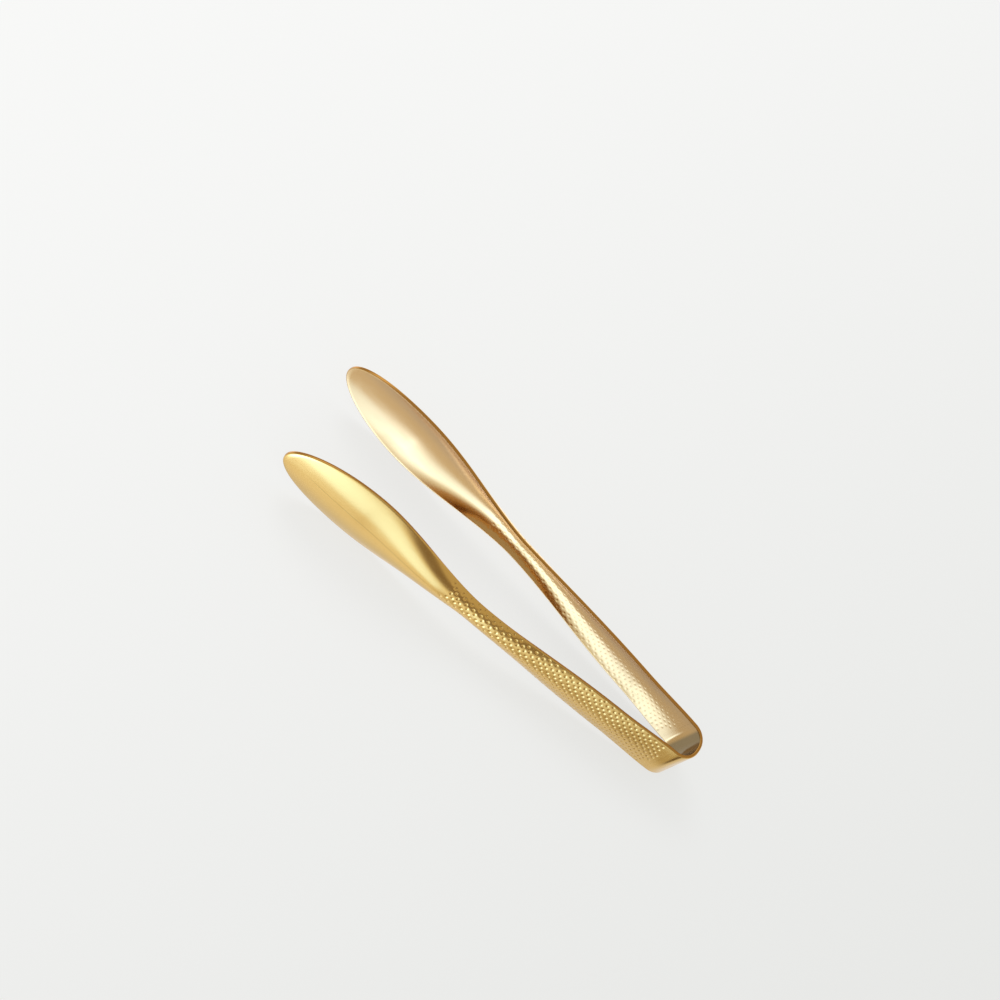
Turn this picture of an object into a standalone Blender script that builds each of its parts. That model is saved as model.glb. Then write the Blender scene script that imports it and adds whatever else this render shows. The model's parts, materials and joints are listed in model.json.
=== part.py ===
"""Serving tongs bent and stamped from sheet metal: a spring bow and two dished arms.

The tongs lie on their side edges on the ground, with the bow at +X, the bowl tips at -X,
the left arm at -Y and the right arm at +Y. Each arm is one stamping: a cambered handle
that curls into a gutter at the neck and opens into a long spoon bowl. The hollow sides
of the bowls face each other. The bow is the spring, and each arm swings about the line
where it leaves the bow.

Lengths are metres, and positions along an arm are measured from its seam with the bow.
"""

import math

import bmesh
import bpy
from mathutils import Vector

# Sheet that all three pieces are made of
SHEET_THICKNESS = 0.0015
RIM_ROUND = 0.0004
SEAM_GAP = 0.0003

# Spring bow, a bend with this half width to the middle of the sheet and a straight tail.
# A squareness of 2 would be a round bend.
BOW_RADIUS = 0.00805
BOW_SQUARENESS = 2.25
BOW_WIDTH = 0.0237
BOW_TAIL = 0.0015
SEAM_DEPTH = 0.0010

# Arm lengths, from the seam to the even part of the handle, the neck, the widest bowl and the tip
HANDLE_LENGTH = 0.0260
NECK_LENGTH = 0.0725
BOWL_SHOULDER_LENGTH = 0.0620
BOWL_NOSE_LENGTH = 0.0400

# Width between the rims, and depth of the curl below them. The curl is deepest in the
# bowl's throat, this far past the neck, where the gutter opens into the bowl.
HANDLE_WIDTH = 0.0214
HANDLE_DEPTH = 0.0021
NECK_WIDTH = 0.0137
NECK_DEPTH = 0.0036
THROAT_DEPTH = 0.0047
THROAT_LENGTH = 0.0220
BOWL_WIDTH = 0.0360
BOWL_DEPTH = 0.0036

# How late the handle narrows and curls and the bowl widens, and how round the nose and its
# floor are
TAPER_DELAY = 1.22
CURL_DELAY = 1.5
SHOULDER_DELAY = 0.955
NOSE_ROUNDNESS = 2.0
NOSE_FLOOR_ROUNDNESS = 1.8

# Angle of an arm's rims to the middle plane at the bow, where the handle leans out most,
# along the bowl's shoulder and at the tip
SPLAY_AT_BOW = math.radians(5.6)
SPLAY_AT_LEAN = math.radians(6.1)
SPLAY_AT_SHOULDER = math.radians(3.1)
SPLAY_AT_TIP = math.radians(7.5)

# From the seam to the place that leans out most, from there to the shoulder's angle, and
# how far that angle is held
LEAN_LENGTH = 0.0600
LEAN_RETURN_LENGTH = 0.0550
SHOULDER_HOLD_LENGTH = 0.0300

# Fineness of the surfaces
CELLS_ACROSS = 10
BEND_STEPS = 24
HANDLE_STEPS = 22
SHOULDER_STEPS = 16
NOSE_STEPS = 10
RIM_SEGMENTS = 2

LEFT = -1
RIGHT = 1
NEARLY_FLAT = 0.00001

GOLD = (0.80, 0.58, 0.25, 1.0)
GOLD_ROUGHNESS = 0.28


def clear_scene():
    """Remove whatever the opened file holds."""
    for old_object in list(bpy.data.objects):
        bpy.data.objects.remove(old_object, do_unlink=True)


def gold(name):
    """A warm gold metal for one piece."""
    material = bpy.data.materials.new(name)
    material.use_nodes = True
    shader = material.node_tree.nodes["Principled BSDF"]
    shader.inputs["Base Color"].default_value = GOLD
    shader.inputs["Metallic"].default_value = 1.0
    shader.inputs["Roughness"].default_value = GOLD_ROUGHNESS
    return material


def ease(fraction):
    """Smooth step from 0 to 1 that starts and ends level."""
    held = min(max(fraction, 0.0), 1.0)
    return held * held * (3.0 - 2.0 * held)


def between(start, end, fraction):
    """A size part of the way from one value to another, joined smoothly to both."""
    return start + (end - start) * ease(fraction)


def neck_position():
    """Distance from the seam to the narrowest place."""
    return HANDLE_LENGTH + NECK_LENGTH


def belly_position():
    """Distance from the seam to the widest place of the bowl."""
    return neck_position() + BOWL_SHOULDER_LENGTH


def arm_length():
    """Distance from the seam to the tip."""
    return belly_position() + BOWL_NOSE_LENGTH


def nose_fraction(distance):
    """How far along the nose a place is, from 0 at the widest place to 1 at the tip."""
    return min(max((distance - belly_position()) / BOWL_NOSE_LENGTH, 0.0), 1.0)


def rim_width(distance):
    """Width between the two rims at a distance from the seam."""
    if distance <= HANDLE_LENGTH:
        return between(BOW_WIDTH, HANDLE_WIDTH, distance / HANDLE_LENGTH)
    if distance <= neck_position():
        along = (distance - HANDLE_LENGTH) / NECK_LENGTH
        return between(HANDLE_WIDTH, NECK_WIDTH, along ** TAPER_DELAY)
    if distance <= belly_position():
        along = (distance - neck_position()) / BOWL_SHOULDER_LENGTH
        return between(NECK_WIDTH, BOWL_WIDTH, along ** SHOULDER_DELAY)
    rest = 1.0 - nose_fraction(distance) ** NOSE_ROUNDNESS
    return BOWL_WIDTH * rest ** (1.0 / NOSE_ROUNDNESS)


def curl_depth(distance):
    """Depth of the curl below the rims at a distance from the seam."""
    if distance <= HANDLE_LENGTH:
        return between(SEAM_DEPTH, HANDLE_DEPTH, distance / HANDLE_LENGTH)
    if distance <= neck_position():
        along = (distance - HANDLE_LENGTH) / NECK_LENGTH
        return between(HANDLE_DEPTH, NECK_DEPTH, along ** CURL_DELAY)
    past_neck = distance - neck_position()
    if past_neck <= THROAT_LENGTH:
        return between(NECK_DEPTH, THROAT_DEPTH, past_neck / THROAT_LENGTH)
    if distance <= belly_position():
        along = (past_neck - THROAT_LENGTH) / (BOWL_SHOULDER_LENGTH - THROAT_LENGTH)
        return between(THROAT_DEPTH, BOWL_DEPTH, along)
    return BOWL_DEPTH * (1.0 - nose_fraction(distance) ** NOSE_FLOOR_ROUNDNESS)


def splay(distance):
    """Angle of the rims to the middle plane at a distance from the seam."""
    if distance <= LEAN_LENGTH:
        return between(SPLAY_AT_BOW, SPLAY_AT_LEAN, distance / LEAN_LENGTH)
    shoulder = LEAN_LENGTH + LEAN_RETURN_LENGTH
    if distance <= shoulder:
        return between(SPLAY_AT_LEAN, SPLAY_AT_SHOULDER, (distance - LEAN_LENGTH) / LEAN_RETURN_LENGTH)
    turning_out = shoulder + SHOULDER_HOLD_LENGTH
    beyond = (distance - turning_out) / (arm_length() - turning_out)
    return between(SPLAY_AT_SHOULDER, SPLAY_AT_TIP, beyond)


def along_direction(angle):
    """Direction from the bow towards the tip on the right side."""
    return Vector((-math.cos(angle), math.sin(angle), 0.0))


def outward_direction(angle):
    """Direction square to the rims and away from the other arm, on the right side."""
    return Vector((math.sin(angle), math.cos(angle), 0.0))


def bend_point(turn):
    """Middle of the bend where the sheet faces this far round from the apex."""
    across, beside = abs(math.cos(turn)), abs(math.sin(turn))
    power = BOW_SQUARENESS / (BOW_SQUARENESS - 1.0)
    size = BOW_RADIUS / (across ** power + beside ** power) ** (1.0 / BOW_SQUARENESS)
    reach = 1.0 / (BOW_SQUARENESS - 1.0)
    return Vector((size * across ** reach, math.copysign(size * beside ** reach, turn), 0.0))


def bend_end():
    """Where the right end of the bend meets its straight tail."""
    return bend_point(math.pi / 2.0 - SPLAY_AT_BOW)


def tail_end():
    """Middle of the bow's right seam face, on the line between its rims."""
    return bend_end() + along_direction(SPLAY_AT_BOW) * BOW_TAIL


def arm_start():
    """Middle of the right arm's seam face, on the line between its rims."""
    return tail_end() + along_direction(SPLAY_AT_BOW) * SEAM_GAP


def hinge_point():
    """Place in the middle of the sheet, in the seam, that the right arm swings about."""
    middle = (tail_end() + arm_start()) / 2.0
    return middle + outward_direction(SPLAY_AT_BOW) * (SEAM_DEPTH / 2.0)


def curl_half_angle(width, depth):
    """Half the angle of the arc that spans a width with a depth."""
    return 2.0 * math.atan(2.0 * depth / width)


def curved_section(width, depth):
    """Points from rim to rim of an arc, as (height, distance outward from the rims)."""
    turns = [2.0 * step / CELLS_ACROSS - 1.0 for step in range(CELLS_ACROSS + 1)]
    if depth < NEARLY_FLAT:
        return [(width / 2.0 * turn, 0.0) for turn in turns]
    half_angle = curl_half_angle(width, depth)
    radius = width / (2.0 * math.sin(half_angle))
    drop = radius * math.cos(half_angle)
    return [
        (radius * math.sin(half_angle * turn), radius * math.cos(half_angle * turn) - drop)
        for turn in turns
    ]


def section_row(place, outward, width, depth):
    """One row of surface points across the strip at a place on the line of the rims."""
    up = Vector((0.0, 0.0, 1.0))
    return [place + up * height + outward * out for height, out in curved_section(width, depth)]


def arm_stations():
    """Distances from the seam at which the arm has a row, closer together in the nose."""
    handle = [neck_position() * step / HANDLE_STEPS for step in range(HANDLE_STEPS)]
    shoulder = [
        neck_position() + BOWL_SHOULDER_LENGTH * step / SHOULDER_STEPS
        for step in range(SHOULDER_STEPS)
    ]
    nose = [
        belly_position() + BOWL_NOSE_LENGTH * math.sin(math.pi / 2.0 * step / NOSE_STEPS)
        for step in range(NOSE_STEPS)
    ]
    return handle + shoulder + nose


def arm_rows():
    """Rows of the right arm's surface from the seam on, and the point of its tip."""
    place = arm_start()
    reached = 0.0
    rows = []
    for distance in arm_stations():
        middle_angle = splay((reached + distance) / 2.0)
        place = place + along_direction(middle_angle) * (distance - reached)
        reached = distance
        outward = outward_direction(splay(distance))
        rows.append(section_row(place, outward, rim_width(distance), curl_depth(distance)))
    last_angle = splay((reached + arm_length()) / 2.0)
    tip = place + along_direction(last_angle) * (arm_length() - reached)
    return rows, tip


def bow_depth(from_apex):
    """Camber of the bow: flat over the apex, rising to the arm's camber at the seam."""
    return between(0.0, SEAM_DEPTH, 2.0 * from_apex - 1.0)


def bow_rows():
    """Rows of the bow's surface from the left seam, round the bend, to the right seam."""
    sweep = math.pi / 2.0 - SPLAY_AT_BOW
    rows = []
    for step in range(BEND_STEPS + 1):
        share = 2.0 * step / BEND_STEPS - 1.0
        turn = sweep * share
        outward = Vector((math.cos(turn), math.sin(turn), 0.0))
        rows.append(section_row(bend_point(turn), outward, BOW_WIDTH, bow_depth(abs(share))))
    outward = outward_direction(SPLAY_AT_BOW)
    right_tail = section_row(tail_end(), outward, BOW_WIDTH, SEAM_DEPTH)
    return [mirrored(right_tail)] + rows + [right_tail]


def mirrored(points):
    """The same points on the other side of the middle plane."""
    return [Vector((point.x, -point.y, point.z)) for point in points]


def surface_mesh(name, rows, tip=None):
    """Open surface through rows of points, closed to one point where it has a tip."""
    shape = bmesh.new()
    lines = [[shape.verts.new(point) for point in row] for row in rows]
    for line, following in zip(lines, lines[1:]):
        for step in range(CELLS_ACROSS):
            shape.faces.new((line[step], line[step + 1], following[step + 1], following[step]))
    if tip is not None:
        point = shape.verts.new(tip)
        for step in range(CELLS_ACROSS):
            shape.faces.new((lines[-1][step], lines[-1][step + 1], point))
    mark_rims(shape, lines)
    mesh = bpy.data.meshes.new(name)
    shape.to_mesh(mesh)
    shape.free()
    return mesh


def mark_rims(shape, lines):
    """Give the long outer edges a bevel weight, and leave the seam faces sharp."""
    weight = shape.edges.layers.float.new("bevel_weight_edge")
    seams = [set(lines[0]), set(lines[-1])]
    for edge in shape.edges:
        on_seam = any(set(edge.verts) <= seam for seam in seams)
        if edge.is_boundary and not on_seam:
            edge[weight] = 1.0


def sheet_object(name, mesh, collection):
    """A piece of sheet: the surface given its thickness, with rounded rims."""
    piece = bpy.data.objects.new(name, mesh)
    collection.objects.link(piece)
    piece.data.materials.append(gold(name + "_gold"))
    thickness = piece.modifiers.new("thickness", "SOLIDIFY")
    thickness.thickness = SHEET_THICKNESS
    thickness.offset = 0.0
    thickness.use_even_offset = True
    rims = piece.modifiers.new("rims", "BEVEL")
    rims.width = RIM_ROUND
    rims.segments = RIM_SEGMENTS
    rims.limit_method = "WEIGHT"
    piece.data.shade_smooth()
    piece.data.set_sharp_from_angle(angle=math.radians(40.0))
    return piece


def add_bow(collection):
    """The U-shaped spring at the closed end."""
    return sheet_object("spring_bow", surface_mesh("spring_bow", bow_rows()), collection)


def add_arm(name, side, collection):
    """One arm, with its origin on the axis that it swings about."""
    rows, tip = arm_rows()
    hinge = hinge_point()
    if side == LEFT:
        rows = [mirrored(row) for row in rows]
        tip = mirrored([tip])[0]
        hinge = mirrored([hinge])[0]
    rows = [[point - hinge for point in row] for row in rows]
    arm = sheet_object(name, surface_mesh(name, rows, tip - hinge), collection)
    arm.location = hinge
    return arm


def resting_tilt():
    """Angle that lets the bow and the wider bowls touch the ground together."""
    bow_outside = BOW_RADIUS + SHEET_THICKNESS / 2.0
    outer_rim = SHEET_THICKNESS / 2.0 * math.sin(curl_half_angle(BOWL_WIDTH, BOWL_DEPTH))
    lift = (BOWL_WIDTH - BOW_WIDTH) / 2.0 + outer_rim
    return math.atan(lift / (bow_outside - arm_start().x + belly_position()))


def world_points(pieces):
    """Every corner of the finished pieces, in world space."""
    bpy.context.view_layer.update()
    graph = bpy.context.evaluated_depsgraph_get()
    points = []
    for piece in pieces:
        finished = piece.evaluated_get(graph)
        points += [finished.matrix_world @ corner.co for corner in finished.data.vertices]
    return points


def stand_on_ground(pieces, collection):
    """Tilt the tongs to where they rest, and centre their underside on the origin."""
    resting = bpy.data.objects.new("resting_pose", None)
    resting.empty_display_size = BOWL_WIDTH
    collection.objects.link(resting)
    for piece in pieces:
        piece.parent = resting
    resting.rotation_euler = (0.0, resting_tilt(), 0.0)
    points = world_points(pieces)
    lowest = Vector(tuple(min(point[axis] for point in points) for axis in range(3)))
    highest = Vector(tuple(max(point[axis] for point in points) for axis in range(3)))
    middle = (lowest + highest) / 2.0
    resting.location = (-middle.x, -middle.y, -lowest.z)


def main():
    """Make the tongs."""
    clear_scene()
    collection = bpy.data.collections.new("serving_tongs")
    bpy.context.scene.collection.children.link(collection)
    bow = add_bow(collection)
    left_arm = add_arm("left_arm", LEFT, collection)
    right_arm = add_arm("right_arm", RIGHT, collection)
    stand_on_ground([bow, left_arm, right_arm], collection)


main()
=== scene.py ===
"""Serving tongs in gold-coloured sheet metal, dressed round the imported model.

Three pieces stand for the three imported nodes: the spring bow and two arms. Each is made the way
a press shop makes it. A flat blank is cut to its outline, given the thickness of the sheet and
rounded along its rims, then the handle is embossed with dimples, and last the blank is pressed
into its curl and bent. The arms bend where they leave the bow, because the real tongs are one
strip. Lengths are metres. Distances along an arm are measured from its seam with the bow.
"""

import json
import logging
import math
from collections.abc import Callable
from dataclasses import dataclass, field
from enum import Enum
from functools import cached_property
from typing import NamedTuple

import bmesh
import bpy
from mathutils import Matrix, Vector, noise
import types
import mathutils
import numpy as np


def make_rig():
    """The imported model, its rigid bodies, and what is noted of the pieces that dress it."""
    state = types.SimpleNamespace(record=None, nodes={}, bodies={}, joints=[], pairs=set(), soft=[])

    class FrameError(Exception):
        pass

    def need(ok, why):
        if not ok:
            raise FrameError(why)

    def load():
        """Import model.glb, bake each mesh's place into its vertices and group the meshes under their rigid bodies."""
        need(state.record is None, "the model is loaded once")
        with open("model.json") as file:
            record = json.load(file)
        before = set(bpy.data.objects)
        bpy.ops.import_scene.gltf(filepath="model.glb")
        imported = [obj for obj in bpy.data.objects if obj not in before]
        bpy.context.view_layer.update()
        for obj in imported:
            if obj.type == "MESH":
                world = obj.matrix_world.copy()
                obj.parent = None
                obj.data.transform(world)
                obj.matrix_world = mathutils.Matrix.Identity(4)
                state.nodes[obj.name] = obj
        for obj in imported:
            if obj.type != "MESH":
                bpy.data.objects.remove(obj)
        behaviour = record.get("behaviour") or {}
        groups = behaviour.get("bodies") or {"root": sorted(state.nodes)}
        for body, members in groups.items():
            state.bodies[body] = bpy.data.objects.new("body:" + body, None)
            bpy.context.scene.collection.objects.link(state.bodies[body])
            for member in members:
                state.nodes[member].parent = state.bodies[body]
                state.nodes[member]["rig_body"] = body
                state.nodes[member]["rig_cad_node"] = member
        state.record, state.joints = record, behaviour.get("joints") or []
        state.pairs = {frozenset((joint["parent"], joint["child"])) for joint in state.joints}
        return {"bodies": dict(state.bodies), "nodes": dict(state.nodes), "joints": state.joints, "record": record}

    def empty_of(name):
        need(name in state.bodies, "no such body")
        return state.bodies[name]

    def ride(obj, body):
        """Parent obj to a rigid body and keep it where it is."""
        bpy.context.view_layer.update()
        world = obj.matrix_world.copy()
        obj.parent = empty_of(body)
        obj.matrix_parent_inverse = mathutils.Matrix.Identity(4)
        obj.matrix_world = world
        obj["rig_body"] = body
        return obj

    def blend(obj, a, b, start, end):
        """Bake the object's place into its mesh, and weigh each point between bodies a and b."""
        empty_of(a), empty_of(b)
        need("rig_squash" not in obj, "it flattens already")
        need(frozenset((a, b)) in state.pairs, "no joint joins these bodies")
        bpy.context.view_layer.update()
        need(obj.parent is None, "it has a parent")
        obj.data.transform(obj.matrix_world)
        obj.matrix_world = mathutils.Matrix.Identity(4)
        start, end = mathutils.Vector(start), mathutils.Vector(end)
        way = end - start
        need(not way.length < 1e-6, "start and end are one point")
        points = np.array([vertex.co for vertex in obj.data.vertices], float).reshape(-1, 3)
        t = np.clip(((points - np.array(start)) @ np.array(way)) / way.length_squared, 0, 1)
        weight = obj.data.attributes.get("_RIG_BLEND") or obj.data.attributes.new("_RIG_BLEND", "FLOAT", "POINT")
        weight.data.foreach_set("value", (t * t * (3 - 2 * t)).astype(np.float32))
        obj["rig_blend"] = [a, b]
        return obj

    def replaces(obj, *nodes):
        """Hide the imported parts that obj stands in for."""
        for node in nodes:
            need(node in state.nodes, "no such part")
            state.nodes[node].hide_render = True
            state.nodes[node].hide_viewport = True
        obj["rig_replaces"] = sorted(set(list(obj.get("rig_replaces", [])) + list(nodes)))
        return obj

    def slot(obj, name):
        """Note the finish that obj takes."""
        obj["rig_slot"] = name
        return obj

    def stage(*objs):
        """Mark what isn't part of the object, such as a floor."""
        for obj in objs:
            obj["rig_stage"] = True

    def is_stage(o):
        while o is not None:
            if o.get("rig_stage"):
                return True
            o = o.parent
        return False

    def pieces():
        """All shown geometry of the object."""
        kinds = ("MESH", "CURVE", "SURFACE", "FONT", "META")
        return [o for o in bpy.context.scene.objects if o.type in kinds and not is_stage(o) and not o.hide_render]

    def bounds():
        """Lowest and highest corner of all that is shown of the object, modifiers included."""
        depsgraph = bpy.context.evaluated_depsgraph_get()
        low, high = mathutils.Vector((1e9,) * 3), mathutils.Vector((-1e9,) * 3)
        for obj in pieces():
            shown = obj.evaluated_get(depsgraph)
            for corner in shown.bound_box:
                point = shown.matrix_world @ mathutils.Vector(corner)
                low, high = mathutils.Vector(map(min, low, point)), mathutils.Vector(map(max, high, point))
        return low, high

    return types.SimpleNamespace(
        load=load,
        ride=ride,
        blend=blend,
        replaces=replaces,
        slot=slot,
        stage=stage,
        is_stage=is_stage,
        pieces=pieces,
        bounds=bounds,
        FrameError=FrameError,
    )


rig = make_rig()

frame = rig.load()
PACKED_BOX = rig.bounds()

SIZE_FILE = "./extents.json"

# A length, an angle or a share too small to see
TINY = 0.00001

# Units of a piece's texture map to one metre of flat sheet
TEXTURE_METRE = 10.0

RIM_CORNER = math.radians(45.0)
SHARP_CORNER = math.radians(40.0)

FLOAT = "NodeSocketFloat"
VECTOR = "NodeSocketVector"

# Colour sockets of a Mix node, by number because their names repeat for each kind of data
FIRST_COLOUR, SECOND_COLOUR, MIXED_COLOUR = 6, 7, 2

Colour = tuple[float, float, float, float]
Range = tuple[float, float]

log = logging.getLogger("tongs")


class Side(Enum):
    """Side of the middle plane that an arm is on."""

    LEFT = -1.0
    RIGHT = 1.0


class Mark(Enum):
    """Values painted on the points of a piece for its finish to read."""

    HOLLOW = "hollow_side"
    PRESSED = "pressed_depth"
    # Share of painted shade, full on the bow and fading along the handle.
    TONED = "toned_share"


@dataclass(frozen=True)
class MiddleLine:
    """Fine line pressed along the middle of the bowl's outer face, with a dark reflection line painted along it."""

    first: float = 0.1180
    last: float = 0.1900
    fade: float = 0.0080
    half_width: float = 0.00022
    core_share: float = 1.0 / 3.0
    depth: float = 0.00002

    def strength(self, distance: float) -> float:
        """How deep the line is at a distance from the seam, from 0 to 1."""
        return ease((distance - self.first) / self.fade) * ease((self.last - distance) / self.fade)


class Curl(NamedTuple):
    """Cross-section of the pressed sheet: an arc to the middle of its thickness."""

    half_angle: float
    radius: float

    @property
    def half_length(self) -> float:
        """Length of sheet from the middle of the section to a rim."""
        return self.radius * self.half_angle


class Station(NamedTuple):
    """A place on the line midway between the rims, where the sheet has one cross-section."""

    place: Vector
    outward: Vector
    curl: Curl


def ease(share: float) -> float:
    """Smooth step from 0 to 1 that starts and ends level."""
    held = min(max(share, 0.0), 1.0)
    return held * held * (3.0 - 2.0 * held)


def between(start: float, end: float, share: float) -> float:
    """A size part of the way from one value to another, joined smoothly to both."""
    return start + (end - start) * ease(share)


def shaded(colour: Colour, share: float) -> Colour:
    """A colour made darker or lighter by a factor."""
    red, green, blue, alpha = colour
    return red * share, green * share, blue * share, alpha


def curl_of(width: float, depth: float) -> Curl:
    """Arc that spans a width between its rims with a depth below them.

    Args:
        width: straight distance from rim to rim.
        depth: how far the middle of the section lies outside the line of the rims.

    Returns:
        The half angle and the radius of the arc. A section with no depth keeps a tiny angle.
    """
    held = max(width, TINY)
    half_angle = max(2.0 * math.atan2(2.0 * depth, held), TINY)
    return Curl(half_angle, held / (2.0 * math.sin(half_angle)))


def along_direction(angle: float) -> Vector:
    """Direction from the bow towards the tip on the right side."""
    return Vector((-math.cos(angle), math.sin(angle), 0.0))


def outward_direction(angle: float) -> Vector:
    """Direction square to the rims and away from the other arm, on the right side."""
    return Vector((math.sin(angle), math.cos(angle), 0.0))


@dataclass(frozen=True)
class SheetStock:
    """The sheet that all three pieces are made of."""

    thickness: float = 0.0015
    rim_round: float = 0.0004
    rim_segments: int = 3
    rim_cell: float = 0.06
    face_share: float = 0.999

    def spread(self, share: float, rings: int) -> float:
        """Place of a grid line so that only the outermost cells have the rim's own width.

        Args:
            share: place of the line among equal cells, from 0 in the middle to 1 at the rim.
            rings: number of cells from the middle to the rim.

        Returns:
            The place of the line, from 0 to 1.
        """
        last = 1.0 - 1.0 / rings
        if share <= last:
            return share / last * (1.0 - self.rim_cell)
        return 1.0 - (1.0 - share) * rings * self.rim_cell


@dataclass(frozen=True)
class ArmForm:
    """Sizes of one arm from its seam to its tip, and of the bow that it leaves."""

    bow_radius: float = 0.00805
    bow_squareness: float = 2.25
    bow_width: float = 0.0237
    bow_tail: float = 0.0015
    seam_gap: float = 0.0003
    seam_depth: float = 0.0010
    handle_length: float = 0.0260
    neck_length: float = 0.0725
    shoulder_length: float = 0.0620
    nose_length: float = 0.0400
    handle_width: float = 0.0214
    handle_depth: float = 0.0021
    neck_width: float = 0.0137
    neck_depth: float = 0.0036
    throat_depth: float = 0.0047
    throat_length: float = 0.0220
    bowl_width: float = 0.0360
    bowl_depth: float = 0.0036
    taper_delay: float = 1.22
    curl_delay: float = 1.5
    shoulder_delay: float = 0.955
    nose_roundness: float = 2.0
    nose_floor_roundness: float = 1.8
    splay_at_bow: float = math.radians(5.6)
    splay_at_lean: float = math.radians(6.1)
    splay_at_shoulder: float = math.radians(3.1)
    splay_at_tip: float = math.radians(7.5)
    lean_length: float = 0.0600
    lean_return_length: float = 0.0550
    shoulder_hold_length: float = 0.0300
    line_steps: int = 500

    @property
    def neck(self) -> float:
        """Distance from the seam to the narrowest place."""
        return self.handle_length + self.neck_length

    @property
    def belly(self) -> float:
        """Distance from the seam to the widest place of the bowl."""
        return self.neck + self.shoulder_length

    @property
    def length(self) -> float:
        """Distance from the seam to the tip."""
        return self.belly + self.nose_length

    @property
    def bend_end(self) -> Vector:
        """Where the right end of the bend meets its straight tail."""
        return self.bend_point(math.pi / 2.0 - self.splay_at_bow)

    @property
    def start(self) -> Vector:
        """Middle of the right arm's seam face, on the line between its rims."""
        return self.bend_end + along_direction(self.splay_at_bow) * (self.bow_tail + self.seam_gap)

    @property
    def hinge(self) -> Vector:
        """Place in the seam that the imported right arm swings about."""
        to_seam = along_direction(self.splay_at_bow) * (self.bow_tail + self.seam_gap / 2.0)
        return self.bend_end + to_seam + outward_direction(self.splay_at_bow) * (self.seam_depth / 2.0)

    def bend_point(self, turn: float) -> Vector:
        """A place in the middle of the bow's sheet, on the line midway between its rims.

        Args:
            turn: how far round from the apex the sheet faces there, positive to the right.

        Returns:
            The place in the frame of the untilted tongs. A squareness of 2 would be an arc.
        """
        across, beside = abs(math.cos(turn)), abs(math.sin(turn))
        power = self.bow_squareness / (self.bow_squareness - 1.0)
        size = self.bow_radius / (across**power + beside**power) ** (1.0 / self.bow_squareness)
        reach = 1.0 / (self.bow_squareness - 1.0)
        return Vector((size * across**reach, math.copysign(size * beside**reach, turn), 0.0))

    def nose_share(self, distance: float) -> float:
        """How far along the nose a place is, from 0 at the widest place to 1 at the tip."""
        return min(max((distance - self.belly) / self.nose_length, 0.0), 1.0)

    def width(self, distance: float) -> float:
        """Width between the rims.

        Args:
            distance: metres along the arm from its seam.

        Returns:
            The width in metres, 0 at the tip.
        """
        if distance <= self.handle_length:
            return between(self.bow_width, self.handle_width, distance / self.handle_length)
        if distance <= self.neck:
            share = (distance - self.handle_length) / self.neck_length
            return between(self.handle_width, self.neck_width, share**self.taper_delay)
        if distance <= self.belly:
            share = (distance - self.neck) / self.shoulder_length
            return between(self.neck_width, self.bowl_width, share**self.shoulder_delay)
        rest = 1.0 - self.nose_share(distance) ** self.nose_roundness
        return self.bowl_width * rest ** (1.0 / self.nose_roundness)

    def depth(self, distance: float) -> float:
        """Depth of the curl below the rims.

        Args:
            distance: metres along the arm from its seam.

        Returns:
            The depth in metres, 0 at the tip.
        """
        if distance <= self.handle_length:
            return between(self.seam_depth, self.handle_depth, distance / self.handle_length)
        if distance <= self.neck:
            share = (distance - self.handle_length) / self.neck_length
            return between(self.handle_depth, self.neck_depth, share**self.curl_delay)
        past_neck = distance - self.neck
        if past_neck <= self.throat_length:
            return between(self.neck_depth, self.throat_depth, past_neck / self.throat_length)
        if distance <= self.belly:
            share = (past_neck - self.throat_length) / (self.shoulder_length - self.throat_length)
            return between(self.throat_depth, self.bowl_depth, share)
        return self.bowl_depth * (1.0 - self.nose_share(distance) ** self.nose_floor_roundness)

    def curl(self, distance: float) -> Curl:
        """Cross-section at a distance from the seam."""
        return curl_of(self.width(distance), self.depth(distance))

    def splay(self, distance: float) -> float:
        """Angle of the rims to the middle plane.

        Args:
            distance: metres along the arm from its seam.

        Returns:
            The angle in radians. The arm moves away from the middle plane where it is positive.
        """
        if distance <= self.lean_length:
            return between(self.splay_at_bow, self.splay_at_lean, distance / self.lean_length)
        shoulder = self.lean_length + self.lean_return_length
        if distance <= shoulder:
            share = (distance - self.lean_length) / self.lean_return_length
            return between(self.splay_at_lean, self.splay_at_shoulder, share)
        turning_out = shoulder + self.shoulder_hold_length
        share = (distance - turning_out) / (self.length - turning_out)
        return between(self.splay_at_shoulder, self.splay_at_tip, share)

    @cached_property
    def centre_line(self) -> list[Vector]:
        """Points at equal steps along the right arm, midway between its rims.

        Returns:
            The points from the seam to the tip, in the frame of the untilted tongs.
        """
        step = self.length / self.line_steps
        points = [self.start]
        for count in range(self.line_steps):
            points.append(points[-1] + along_direction(self.splay((count + 0.5) * step)) * step)
        return points

    def station(self, distance: float) -> Station:
        """The place, direction and cross-section at a distance from the seam.

        Args:
            distance: metres along the arm. A little less than 0 lies in the seam.

        Returns:
            The station on the right arm, in the frame of the untilted tongs.
        """
        steps = max(distance, 0.0) / self.length * self.line_steps
        whole = min(int(steps), self.line_steps - 1)
        place = self.centre_line[whole].lerp(self.centre_line[whole + 1], steps - whole)
        place = place + along_direction(self.splay_at_bow) * min(distance, 0.0)
        held = max(distance, 0.0)
        return Station(place, outward_direction(self.splay(held)), self.curl(held))


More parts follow.
